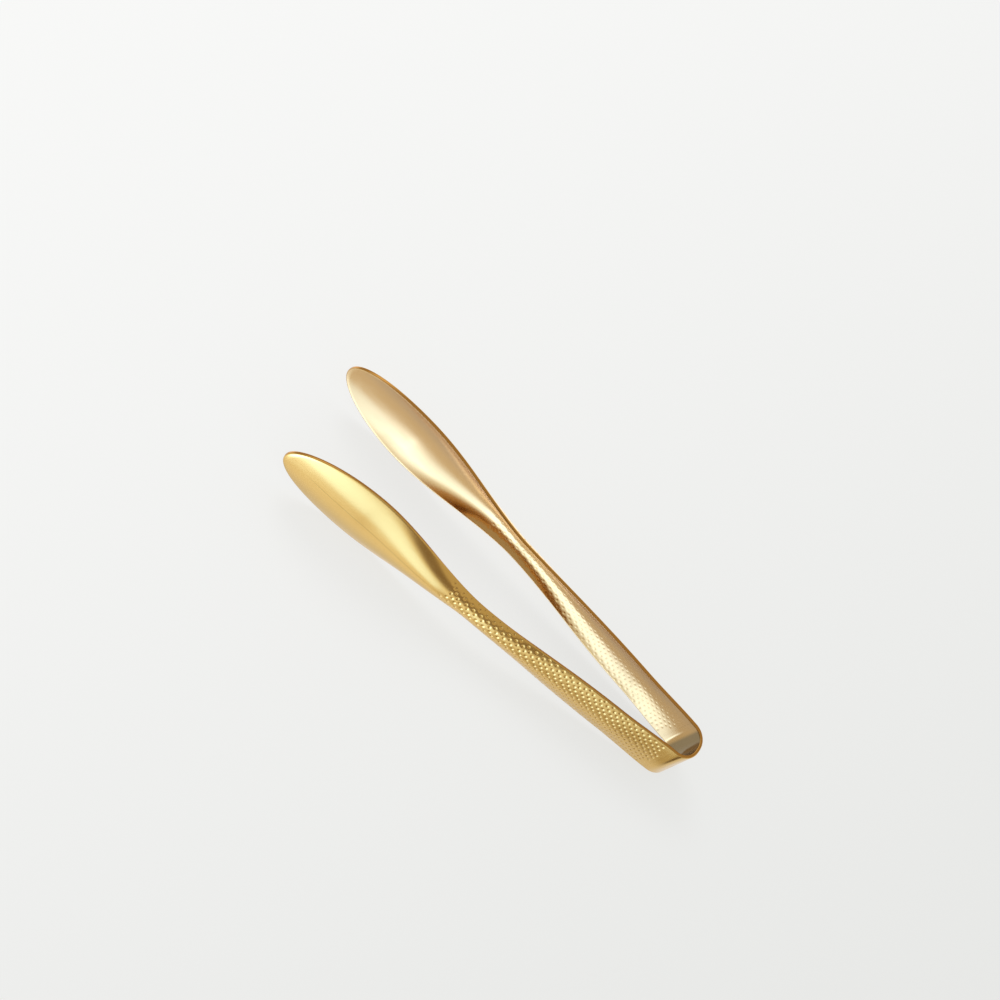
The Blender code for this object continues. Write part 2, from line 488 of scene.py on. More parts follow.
@dataclass(frozen=True)
class DimpleField:
    """Staggered dimples embossed in the handle: dents outside, low bumps inside."""

    pitch_along: float = 0.0039
    row_spacing: float = 0.00142
    radius: float = 0.00092
    wander: float = 0.00045
    dent: float = 0.00019
    bump: float = 0.00005
    first: float = 0.0020
    last: float = 0.1150
    rim_margin: float = 0.0009
    rim_fade: float = 0.0005
    # Length over which the painted shade on the handle fades out from the bow.
    bow_shade_length: float = 0.1300

    def centre(self, row: int, column: int) -> tuple[float, float]:
        """Flat place of one dimple, a little off its place in the pattern.

        Args:
            row: number of the row, 0 along the middle of the blank.
            column: number of the dimple in its row.

        Returns:
            The distance along the arm and the distance from the middle of the blank.
        """
        off = noise.cell_vector(Vector((row + 0.5, column + 0.5, 0.5)))
        shift = self.pitch_along / 2.0 if row % 2 else 0.0
        along = self.first + shift + column * self.pitch_along + (off.x - 0.5) * self.wander
        return along, row * self.row_spacing + (off.y - 0.5) * self.wander

    def toned(self, distance: float) -> float:
        """How strong the painted shade on the handle is, from 1 at the bow to 0 at the bowl."""
        return 1.0 - ease(distance / self.bow_shade_length)

    def profile(self, distance: float, across: float, half_length: float) -> float:
        """How deep the punch went at a place, as a share of its full depth.

        Args:
            distance: metres along the arm.
            across: metres from the middle of the blank.
            half_length: metres from the middle of the blank to its rim.

        Returns:
            0 on plain sheet and 1 at the middle of a dimple.
        """
        if not self.first - self.radius < distance < self.last + self.radius:
            return 0.0
        row = round(across / self.row_spacing)
        column = round((distance - self.first) / self.pitch_along - (0.5 if row % 2 else 0.0))
        best = 0.0
        for near_row in (row - 1, row, row + 1):
            for near_column in (column - 1, column, column + 1):
                centre_along, centre_across = self.centre(near_row, near_column)
                if not self.first <= centre_along <= self.last:
                    continue
                if abs(centre_across) > half_length - self.rim_margin:
                    continue
                away = math.hypot(distance - centre_along, across - centre_across) / self.radius
                if away < 1.0:
                    best = max(best, 0.5 + 0.5 * math.cos(math.pi * away))
        return best * ease((half_length - abs(across)) / self.rim_fade - 1.0)


@dataclass(frozen=True)
class RestingPlace:
    """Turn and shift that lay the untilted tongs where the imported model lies."""

    tilt: float
    shift: Vector

    @classmethod
    def from_frame(cls, form: ArmForm) -> "RestingPlace":
        """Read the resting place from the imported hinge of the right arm.

        Args:
            form: sizes that say where the hinge is in the untilted tongs.

        Returns:
            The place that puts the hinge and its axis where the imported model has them.
        """
        joint = next(row for row in frame["joints"] if row["child"] == "right")
        axis = Vector(joint["axis"])
        tilt = math.atan2(axis.x, axis.z)
        turned = Matrix.Rotation(tilt, 3, "Y") @ form.hinge
        return cls(tilt, Vector(joint["pos_m"]) - turned)

    @cached_property
    def matrix(self) -> Matrix:
        """The turn and shift as one matrix."""
        return Matrix.Translation(self.shift) @ Matrix.Rotation(self.tilt, 4, "Y")


@dataclass
class PressedSheet:
    """A blank on its way from a flat grid to a pressed piece of sheet."""

    name: str
    stock: SheetStock
    shape: bmesh.types.BMesh = field(default_factory=bmesh.new)

    def cut_blank(
        self, cells_along: int, cells_across: int, outline: Callable[[float, float], tuple[float, float]]
    ) -> None:
        """Cut the flat blank from a grid and give it its thickness.

        Args:
            cells_along: number of cells along the piece.
            cells_across: number of cells from rim to rim.
            outline: turns a share along, 0 to 1, and a share across, -1 to 1, into flat metres.
        """
        bmesh.ops.create_grid(self.shape, x_segments=cells_along, y_segments=cells_across, size=1.0)
        for point in self.shape.verts:
            flat = outline((point.co.x + 1.0) / 2.0, point.co.y)
            point.co = Vector((flat[0], flat[1], 0.0))
        bmesh.ops.solidify(self.shape, geom=self.shape.faces[:], thickness=self.stock.thickness)
        middle = sum(point.co.z for point in self.shape.verts) / len(self.shape.verts)
        bmesh.ops.translate(self.shape, verts=self.shape.verts[:], vec=(0.0, 0.0, -middle))
        bmesh.ops.recalc_face_normals(self.shape, faces=self.shape.faces[:])

    def round_rims(self, seams: tuple[float, ...]) -> None:
        """Round the long rims on both faces and leave the seam faces square.

        Args:
            seams: flat distances at which the blank ends in a seam and not in a rim.
        """
        rims = [edge for edge in self.shape.edges if self.is_rim(edge, seams)]
        bmesh.ops.bevel(
            self.shape,
            geom=rims,
            offset=self.stock.rim_round,
            offset_type="OFFSET",
            segments=self.stock.rim_segments,
            profile=0.5,
            affect="EDGES",
            material=-1,
            clamp_overlap=False,
        )

    def is_rim(self, edge: bmesh.types.BMEdge, seams: tuple[float, ...]) -> bool:
        """Whether an edge of the flat blank is a sharp corner between a face and the rim.

        Args:
            edge: an edge of the blank.
            seams: flat distances at which the blank ends in a seam and not in a rim.

        Returns:
            True where the edge is to be rounded.
        """
        first, second = edge.verts
        if abs(first.co.z - second.co.z) > self.stock.thickness / 2.0:
            return False
        on_seam = any(
            max(abs(first.co.x - seam), abs(second.co.x - seam)) < TINY for seam in seams
        )
        return not on_seam and edge.calc_face_angle(0.0) > RIM_CORNER

    def lay_texture(self) -> None:
        """Keep each point's flat place as the piece's own texture map."""
        layer = self.shape.loops.layers.uv.new("sheet")
        for face in self.shape.faces:
            for corner in face.loops:
                corner[layer].uv = corner.vert.co.xy * TEXTURE_METRE

    def press(
        self,
        station: Callable[[float], Station],
        place: RestingPlace,
        side: Side = Side.RIGHT,
        dimples: DimpleField | None = None,
    ) -> None:
        """Press every point of the flat blank into its place on the resting tongs.

        Args:
            station: gives the place and cross-section at a flat distance.
            place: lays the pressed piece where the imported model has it.
            side: side of the middle plane that the piece is on.
            dimples: pattern to emboss first, or none.
        """
        hollow = self.shape.verts.layers.float.new(Mark.HOLLOW.value)
        pressed = self.shape.verts.layers.float.new(Mark.PRESSED.value)
        toned = self.shape.verts.layers.float.new(Mark.TONED.value)
        half = self.stock.thickness / 2.0
        line = MiddleLine()
        known: dict[float, Station] = {}
        for point in self.shape.verts:
            distance, across, lift = point.co
            point[hollow] = 0.5 - lift / self.stock.thickness
            # Painted shade share: full on the bow, fading along the handle.
            point[toned] = dimples.toned(distance) if dimples is not None else 1.0
            found = known.get(distance) or known.setdefault(distance, station(distance))
            if dimples is not None and abs(lift) > half * self.stock.face_share:
                share = dimples.profile(distance, across, found.curl.half_length)
                point[pressed] = share
                lift -= share * (dimples.dent if lift > 0.0 else dimples.bump)
                if lift > 0.0 and abs(across) < TINY:
                    lift -= line.depth * line.strength(distance)
            point.co = place.matrix @ self.pressed_point(found, across, lift, side)
        bmesh.ops.recalc_face_normals(self.shape, faces=self.shape.faces[:])

    @staticmethod
    def pressed_point(station: Station, across: float, lift: float, side: Side) -> Vector:
        """Where a flat point goes when its section is curled.

        Args:
            station: the section that the point lies in.
            across: flat metres from the middle of the section.
            lift: metres outside the middle of the sheet.
            side: side of the middle plane.

        Returns:
            The point in the frame of the untilted tongs.
        """
        curl = station.curl
        turn = across / curl.radius
        reach = curl.radius + lift
        height = reach * math.sin(turn)
        out = reach * math.cos(turn) - curl.radius * math.cos(curl.half_angle)
        point = station.place + station.outward * out
        return Vector((point.x, point.y * side.value, height))

    def finish(self) -> bpy.types.Object:
        """Turn the pressed shape into a smooth-shaded object at the origin.

        Returns:
            The finished object, linked to the scene.
        """
        mesh = bpy.data.meshes.new(self.name)
        self.shape.to_mesh(mesh)
        self.shape.free()
        mesh.shade_smooth()
        mesh.set_sharp_from_angle(angle=SHARP_CORNER)
        piece = bpy.data.objects.new(self.name, mesh)
        bpy.context.scene.collection.objects.link(piece)
        return piece


class Grain(NamedTuple):
    """How often a noise repeats along each axis, and how much finer noise it holds."""

    scale: tuple[float, float, float]
    detail: float


@dataclass(frozen=True)
class ShaderTools:
    """Short ways to add and join nodes in one node tree."""

    tree: bpy.types.NodeTree

    def add(self, kind: str, **settings: object) -> bpy.types.Node:
        """Add a node and set its properties.

        Args:
            kind: Blender's name for the type of node.
            settings: properties of the node by name.

        Returns:
            The new node.
        """
        node = self.tree.nodes.new(kind)
        for name, value in settings.items():
            setattr(node, name, value)
        return node

    def feed(self, socket: bpy.types.NodeSocket, value: object) -> None:
        """Join an output to a socket, or set the socket's own value.

        Args:
            socket: the input to feed.
            value: an output socket, or a plain value of the input's own kind.
        """
        if isinstance(value, bpy.types.NodeSocket):
            self.tree.links.new(value, socket)
        else:
            socket.default_value = value

    def math(self, operation: str, *values: object) -> bpy.types.NodeSocket:
        """Add a Math node.

        Args:
            operation: Blender's name for the sum.
            values: an output or a number for each input in turn.

        Returns:
            The node's output.
        """
        node = self.add("ShaderNodeMath", operation=operation)
        for socket, value in zip(node.inputs, values):
            self.feed(socket, value)
        return node.outputs[0]

    def smooth_range(self, value: object, low: object, high: object) -> bpy.types.NodeSocket:
        """Add a smooth step.

        Args:
            value: the value that is looked at.
            low: the value at which the step starts.
            high: the value at which the step ends.

        Returns:
            0 on the side of low, 1 on the side of high, and a smooth change between them.
        """
        node = self.add("ShaderNodeMapRange", interpolation_type="SMOOTHSTEP")
        self.feed(node.inputs["Value"], value)
        self.feed(node.inputs["From Min"], low)
        self.feed(node.inputs["From Max"], high)
        return node.outputs["Result"]

    def mix(self, share: object, first: object, second: object) -> bpy.types.NodeSocket:
        """Mix of two colours."""
        return self.blend("MIX", share, first, second)

    def blend(
        self, kind: str, share: object, first: object, second: object
    ) -> bpy.types.NodeSocket:
        """Blend two colours.

        Args:
            kind: Blender's name for the way of blending.
            share: how far the blend shows, from 0 to 1.
            first: the colour below.
            second: the colour laid over it.

        Returns:
            The blended colour.
        """
        node = self.add("ShaderNodeMix", data_type="RGBA", blend_type=kind)
        self.feed(node.inputs["Factor"], share)
        self.feed(node.inputs[FIRST_COLOUR], first)
        self.feed(node.inputs[SECOND_COLOUR], second)
        return node.outputs[MIXED_COLOUR]

    def inverse(self, value: object) -> bpy.types.NodeSocket:
        """1 less the value."""
        return self.math("SUBTRACT", 1.0, value)

    def scaled(self, place: object, scale: object) -> bpy.types.NodeSocket:
        """Scale a place.

        Args:
            place: the place to scale.
            scale: the factor for all three axes.

        Returns:
            The scaled place.
        """
        node = self.add("ShaderNodeVectorMath", operation="SCALE")
        self.feed(node.inputs["Vector"], place)
        self.feed(node.inputs["Scale"], scale)
        return node.outputs[0]

    def split(self, place: object) -> bpy.types.NodeOutputs:
        """Split a place into its axes.

        Args:
            place: the place to split.

        Returns:
            The outputs X, Y and Z.
        """
        node = self.add("ShaderNodeSeparateXYZ")
        self.feed(node.inputs[0], place)
        return node.outputs

    def painted(self, mark: Mark) -> bpy.types.NodeSocket:
        """The value painted on the piece under a name."""
        return self.add("ShaderNodeAttribute", attribute_name=mark.value).outputs["Fac"]

    def noise(self, place: object, grain: Grain) -> bpy.types.NodeSocket:
        """Add a noise.

        Args:
            place: where the noise is read.
            grain: how fine it is along each axis.

        Returns:
            The noise, from 0 to 1.
        """
        stretch = self.add("ShaderNodeMapping")
        self.feed(stretch.inputs["Vector"], place)
        stretch.inputs["Scale"].default_value = grain.scale
        node = self.add("ShaderNodeTexNoise")
        self.feed(node.inputs["Vector"], stretch.outputs["Vector"])
        self.feed(node.inputs["Scale"], 1.0)
        self.feed(node.inputs["Detail"], grain.detail)
        return node.outputs["Fac"]

    def group(self, group: bpy.types.NodeTree, **values: object) -> bpy.types.Node:
        """Place a node group and set its inputs.

        Args:
            group: the group to place.
            values: values of its inputs by name, an underscore standing for a space.

        Returns:
            The new node.
        """
        node = self.add("ShaderNodeGroup", node_tree=group)
        for name, value in values.items():
            self.feed(node.inputs[name.replace("_", " ")], value)
        return node


class GroupBuilder:
    """A shader node group with named inputs and outputs."""

    def __init__(self, name: str, inputs: dict[str, str], outputs: dict[str, str]) -> None:
        """Make the empty group.

        Args:
            name: name of the group.
            inputs: type of each input socket by its name.
            outputs: type of each output socket by its name.
        """
        self.tree = bpy.data.node_groups.new(name, "ShaderNodeTree")
        for label, kind in inputs.items():
            self.tree.interface.new_socket(name=label, in_out="INPUT", socket_type=kind)
        for label, kind in outputs.items():
            self.tree.interface.new_socket(name=label, in_out="OUTPUT", socket_type=kind)
        self.tools = ShaderTools(self.tree)
        self.inputs = self.tools.add("NodeGroupInput").outputs
        self.outputs = self.tools.add("NodeGroupOutput").inputs


class SurfaceEffects:
    """Effects that the finishes share, each a node group made once."""

    FINE_LINES = Grain((0.05, 1.0, 1.0), 3.0)
    BROAD_LINES = Grain((0.01, 0.16, 0.16), 2.0)
    SMUDGES = Grain((90.0, 210.0, 210.0), 4.0)
    TONES = Grain((25.0, 60.0, 60.0), 2.0)
    HAZE_RANGE: Range = (0.35, 0.7)
    SMUDGE_RANGE: Range = (0.48, 0.72)
    TONE_RANGE: Range = (0.3, 0.7)
    RIM_RANGE: Range = (0.30, 0.48)
    HOLLOW_RANGE: Range = (0.4, 0.9)
    PIT_RANGE: Range = (0.45, 1.0)

    def __init__(self) -> None:
        """Build the groups."""
        self.satin = self.build_satin()
        self.handling = self.build_handling()
        self.parts = self.build_parts()

    def build_satin(self) -> bpy.types.NodeTree:
        """Fine satin lines along the sheet.

        Returns:
            A group that gives the height of the lines and how much they roughen the surface.
        """
        group = GroupBuilder(
            "satin_lines", {"Place": VECTOR, "Fineness": FLOAT}, {"Height": FLOAT, "Haze": FLOAT}
        )
        tools = group.tools
        place = tools.scaled(group.inputs["Place"], group.inputs["Fineness"])
        broad = tools.noise(place, self.BROAD_LINES)
        height = tools.math("ADD", tools.noise(place, self.FINE_LINES), broad)
        tools.feed(group.outputs["Height"], height)
        tools.feed(group.outputs["Haze"], tools.smooth_range(broad, *self.HAZE_RANGE))
        return group.tree

    def build_handling(self) -> bpy.types.NodeTree:
        """Soft cloudy marks that polishing and handling leave.

        Returns:
            A group that gives a smudge mask and a slow change of tone.
        """
        group = GroupBuilder("handling_marks", {"Place": VECTOR}, {"Smudge": FLOAT, "Tone": FLOAT})
        tools = group.tools
        smudge = tools.noise(group.inputs["Place"], self.SMUDGES)
        tone = tools.noise(group.inputs["Place"], self.TONES)
        tools.feed(group.outputs["Smudge"], tools.smooth_range(smudge, *self.SMUDGE_RANGE))
        tools.feed(group.outputs["Tone"], tools.smooth_range(tone, *self.TONE_RANGE))
        return group.tree

    def build_parts(self) -> bpy.types.NodeTree:
        """Which part of the sheet a point is on, from the values painted on the piece.

        Returns:
            A group that gives masks for the hollow face, the rim and the pits of the dimples.
        """
        group = GroupBuilder(
            "sheet_parts",
            {"Hollow Side": FLOAT, "Pressed": FLOAT},
            {"Hollow": FLOAT, "Rim": FLOAT, "Pit": FLOAT},
        )
        tools = group.tools
        side, pressed = group.inputs["Hollow Side"], group.inputs["Pressed"]
        from_middle = tools.math("ABSOLUTE", tools.math("SUBTRACT", side, 0.5))
        rim = tools.inverse(tools.smooth_range(from_middle, *self.RIM_RANGE))
        tools.feed(group.outputs["Hollow"], tools.smooth_range(side, *self.HOLLOW_RANGE))
        tools.feed(group.outputs["Rim"], rim)
        tools.feed(group.outputs["Pit"], tools.smooth_range(pressed, *self.PIT_RANGE))
        return group.tree


@dataclass(frozen=True)
class GoldFinish:
    """Satin gold-coloured metal on one kind of piece."""

    name: str
    outside: Colour = (0.86, 0.56, 0.165, 1.0)
    # Painted shade: the hollow face is darker than the outside, standing in for the shaded floor and arm that it
    # mirrors.
    hollow: Colour = (0.63, 0.395, 0.155, 1.0)
    rim: Colour = (0.55, 0.28, 0.065, 1.0)
    # Deep tone: the colour that the random tone and the painted shade in the dimples darken towards.
    pit: Colour = (0.62, 0.37, 0.10, 1.0)
    # Painted shade multiplied in on the bow and towards the bow along the handle.
    toned: Colour = (0.80, 0.79, 0.77, 1.0)
    # Painted shade: the hollow face inside the bow's bend is tinted darker and greyer, standing in for the shaded
    # floor that it mirrors.
    bend: Colour = (0.52, 0.60, 0.75, 1.0)
    # Painted reflection: the dark line along the middle of the bowl's outer face.
    middle_line_shade: Colour = (0.72, 0.70, 0.66, 1.0)
    bend_shade_ends: Range = (0.0084, 0.0104)
    roughness: float = 0.17
    haze: float = 0.05
    smudge: float = 0.045
    line_fineness: float = 900.0
    line_height: float = 0.000004
    line_strength: float = 0.25
    # Strength of the painted shade in the dimples.
    pit_shade_share: float = 0.35
    tone_share: float = 0.12
    # Whether the finish paints shade inside the bend.
    shades_bend: bool = False
    line: MiddleLine | None = None

    def material(self, effects: SurfaceEffects) -> bpy.types.Material:
        """Build the finish as a node material.

        Args:
            effects: the shared node groups.

        Returns:
            The new material.
        """
        material = bpy.data.materials.new(self.name)
        material.use_nodes = True
        tools = ShaderTools(material.node_tree)
        shader = material.node_tree.nodes["Principled BSDF"]
        coordinates = tools.add("ShaderNodeTexCoord").outputs
        flat_place = tools.scaled(coordinates["UV"], 1.0 / TEXTURE_METRE)
        parts = tools.group(
            effects.parts, Hollow_Side=tools.painted(Mark.HOLLOW), Pressed=tools.painted(Mark.PRESSED)
        ).outputs
        marks = tools.group(effects.handling, Place=coordinates["Object"]).outputs
        lines = tools.group(effects.satin, Place=flat_place, Fineness=self.line_fineness).outputs
        colour = self.face_colour(tools, parts, marks)
        place = tools.split(flat_place)
        # Painted dark reflection line along the middle of the outer face.
        if self.line is not None:
            middle_line_shade = self.line_shade_mask(tools, self.line, place, parts)
            colour = tools.blend("MULTIPLY", middle_line_shade, colour, self.middle_line_shade)
        # Painted shade on the hollow face inside the bend, fading out past the bend's ends.
        if self.shades_bend:
            past = tools.smooth_range(tools.math("ABSOLUTE", place["X"]), *self.bend_shade_ends)
            inner = tools.math("MULTIPLY", parts["Hollow"], tools.inverse(past))
            colour = tools.blend("MULTIPLY", inner, colour, self.bend)
        colour = tools.mix(parts["Rim"], colour, self.rim)
        tools.feed(shader.inputs["Base Color"], colour)
        shader.inputs["Metallic"].default_value = 1.0
        rough = tools.math("MULTIPLY_ADD", lines["Haze"], self.haze, self.roughness)
        rough = tools.math("MULTIPLY_ADD", marks["Smudge"], self.smudge, rough)
        tools.feed(shader.inputs["Roughness"], rough)
        bump = tools.add("ShaderNodeBump")
        bump.inputs["Strength"].default_value = self.line_strength
        bump.inputs["Distance"].default_value = self.line_height
        tools.feed(bump.inputs["Height"], lines["Height"])
        tools.feed(shader.inputs["Normal"], bump.outputs["Normal"])
        return material

    def face_colour(
        self, tools: ShaderTools, parts: bpy.types.NodeOutputs, marks: bpy.types.NodeOutputs
    ) -> bpy.types.NodeSocket:
        """Colour of the two faces, before the painted line, the painted shade in the bend and the rims.

        Args:
            tools: adds nodes to the finish.
            parts: masks of the parts of the sheet.
            marks: masks of the marks of handling.

        Returns:
            The colour, with painted shade on the hollow face, in the dimples and towards the bow, and a slow random
            change of tone.
        """
        # The hollow face takes its darker colour as painted shade.
        colour = tools.mix(parts["Hollow"], self.outside, self.hollow)
        # Random tone, and painted shade in the dimples, both darken towards the deep tone colour.
        for mask, share in ((marks["Tone"], self.tone_share), (parts["Pit"], self.pit_shade_share)):
            colour = tools.mix(tools.math("MULTIPLY", mask, share), colour, self.pit)
        # Painted shade, darkest at the bow and fading along the handle.
        return tools.blend("MULTIPLY", tools.painted(Mark.TONED), colour, self.toned)

    @staticmethod
    def line_shade_mask(
        tools: ShaderTools,
        line: MiddleLine,
        place: bpy.types.NodeOutputs,
        parts: bpy.types.NodeOutputs,
    ) -> bpy.types.NodeSocket:
        """Where the painted dark reflection line runs along the middle of the outer face.

        Args:
            tools: adds nodes to the finish.
            line: place and width of the line.
            place: flat place along and across the sheet.
            parts: masks of the parts of the sheet.

        Returns:
            The mask, which fades in and out at the line's ends.
        """
        aside = tools.math("ABSOLUTE", place["Y"])
        core = line.half_width * line.core_share
        mask = tools.inverse(tools.smooth_range(aside, core, line.half_width))
        begun = tools.smooth_range(place["X"], line.first, line.first + line.fade)
        ended = tools.smooth_range(place["X"], line.last - line.fade, line.last)
        mask = tools.math("MULTIPLY", mask, tools.math("SUBTRACT", begun, ended))
        return tools.math("MULTIPLY", mask, tools.inverse(parts["Hollow"]))


@dataclass
class SpringBow:
    """The U-shaped spring at the closed end."""

    form: ArmForm
    stock: SheetStock
    place: RestingPlace
    hairline: float = 0.00002
    cells_along: int = 140
    cells_across: int = 64
    piece: bpy.types.Object | None = None

    @property
    def sweep(self) -> float:
        """Half the angle that the bend turns through."""
        return math.pi / 2.0 - self.form.splay_at_bow

    @property
    def half_length(self) -> float:
        """Flat length from the apex to the seam, less half of the hairline."""
        tail = self.form.bow_tail + (self.form.seam_gap - self.hairline) / 2.0
        return self.sweep * self.form.bow_radius + tail

    def outline(self, along: float, across: float) -> tuple[float, float]:
        """Flat place of a point of the grid."""
        spread = math.copysign(self.stock.spread(abs(across), self.cells_across // 2), across)
        return (2.0 * along - 1.0) * self.half_length, spread * self.form.bow_width / 2.0

    def station(self, distance: float) -> Station:
        """The place and cross-section at a flat distance from the apex.

        Args:
            distance: metres from the apex, positive towards the right arm.

        Returns:
            The station in the frame of the untilted tongs.
        """
        turn = max(min(distance / self.form.bow_radius, self.sweep), -self.sweep)
        past_bend = abs(distance) - abs(turn) * self.form.bow_radius
        outward = Vector((math.cos(turn), math.sin(turn), 0.0))
        onward = Vector((-abs(outward.y), math.copysign(outward.x, turn), 0.0))
        depth = between(0.0, self.form.seam_depth, 2.0 * abs(turn) / self.sweep - 1.0)
        curl = curl_of(self.form.bow_width, depth)
        return Station(self.form.bend_point(turn) + onward * past_bend, outward, curl)

    def build(self) -> None:
        """Cut, round and bend the bow."""
        sheet = PressedSheet("bow_spring_strip", self.stock)
        sheet.cut_blank(self.cells_along, self.cells_across, self.outline)
        sheet.round_rims((-self.half_length, self.half_length))
        sheet.lay_texture()
        sheet.press(self.station, self.place)
        self.piece = sheet.finish()

    def dress(self, finish: GoldFinish, effects: SurfaceEffects) -> None:
        """Give the bow its finish and put it on its body.

        Args:
            finish: the finish of the metal.
            effects: the shared node groups.
        """
        self.piece.data.materials.append(finish.material(effects))
        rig.ride(self.piece, "bow")
        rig.replaces(self.piece, "spring_bow")
        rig.slot(self.piece, "bow_gold")


@dataclass
class TongArm:
    """One arm: dimpled handle, gutter neck and dished bowl in one stamping."""

    side: Side
    form: ArmForm
    stock: SheetStock
    place: RestingPlace
    dimples: DimpleField
    hairline: float = 0.00002
    flex_length: float = 0.0090
    handle_cells: int = 416
    shoulder_cells: int = 56
    cells_across: int = 80
    piece: bpy.types.Object | None = None

    @property
    def body(self) -> str:
        """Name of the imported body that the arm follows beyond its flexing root."""
        return self.side.name.lower()

    @property
    def rings(self) -> int:
        """Rings of cells round the nose, which meet the cells across."""
        return self.cells_across // 2

    @property
    def cells_along(self) -> int:
        """Cells from the seam to the tip."""
        return self.handle_cells + self.shoulder_cells + self.rings

    @property
    def first_distance(self) -> float:
        """Distance at which the arm begins, half a hairline from the middle of the seam."""
        return (self.hairline - self.form.seam_gap) / 2.0

    def outline(self, along: float, across: float) -> tuple[float, float]:
        """Flat place of a point of the grid, with rings of cells round the nose.

        Args:
            along: share along the grid, from 0 at the seam to 1 at the tip.
            across: share across the grid, from -1 to 1.

        Returns:
            The flat place, as metres along and across the blank.
        """
        count = along * self.cells_along
        spread = self.stock.spread(abs(across), self.rings)
        if count <= self.handle_cells:
            reach = self.dimples.last - self.first_distance
            distance = self.first_distance + reach * count / self.handle_cells
        elif count <= self.handle_cells + self.shoulder_cells:
            share = (count - self.handle_cells) / self.shoulder_cells
            distance = self.dimples.last + (self.form.belly - self.dimples.last) * share
        else:
            past_belly = count - self.handle_cells - self.shoulder_cells
            return self.nose_outline(past_belly / self.rings, across)
        return distance, math.copysign(spread, across) * self.form.curl(distance).half_length

    def nose_outline(self, along: float, across: float) -> tuple[float, float]:
        """Flat place of a point of the nose, where the grid's rings become half ellipses.

        Args:
            along: share of the nose's cells, from 0 at the widest place to 1 at the tip.
            across: share across the grid, from -1 to 1.

        Returns:
            The flat place, as metres along and across the blank.
        """
        forward = self.stock.spread(along, self.rings)
        sideways = self.stock.spread(abs(across), self.rings)
        ring = max(forward, sideways)
        corner = math.pi / 4.0
        if forward >= sideways:
            angle = corner * sideways / forward
        else:
            angle = 2.0 * corner - corner * forward / sideways
        reach = ring * math.cos(angle)
        rest = math.sqrt(max(1.0 - reach * reach, TINY**2))
        turn = min(ring * math.sin(angle) / rest, 1.0)
        distance = self.form.belly + self.form.nose_length * reach
        return distance, math.copysign(turn, across) * self.form.curl(distance).half_length

    def build(self) -> None:
        """Cut, round, emboss and press the arm."""
        sheet = PressedSheet(self.body + "_arm_sheet", self.stock)
        sheet.cut_blank(self.cells_along, self.cells_across, self.outline)
        sheet.round_rims((self.first_distance,))
        sheet.lay_texture()
        sheet.press(self.form.station, self.place, self.side, self.dimples)
        self.piece = sheet.finish()

    def row_point(self, distance: float) -> Vector:
        """A point on the arm's middle line, on the resting tongs."""
        point = self.form.station(distance).place
        return self.place.matrix @ Vector((point.x, point.y * self.side.value, point.z))

    def dress(self, finish: GoldFinish, effects: SurfaceEffects) -> None:
        """Give the arm its finish and let its root bend with the bow.

        Args:
            finish: the finish of the metal.
            effects: the shared node groups.
        """
        self.piece.data.materials.append(finish.material(effects))
        start, end = self.row_point(self.first_distance), self.row_point(self.flex_length)
        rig.blend(self.piece, "bow", self.body, start=start, end=end)
        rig.replaces(self.piece, self.body + "_arm")
        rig.slot(self.piece, "arm_gold")


@dataclass(frozen=True)
class LightPanel:
    """A soft-edged window of light or shade that the polished metal mirrors, in degrees."""

    name: str
    azimuth: float
    half_width: float
    elevation: float
    half_height: float
    softness: float
    light: Colour


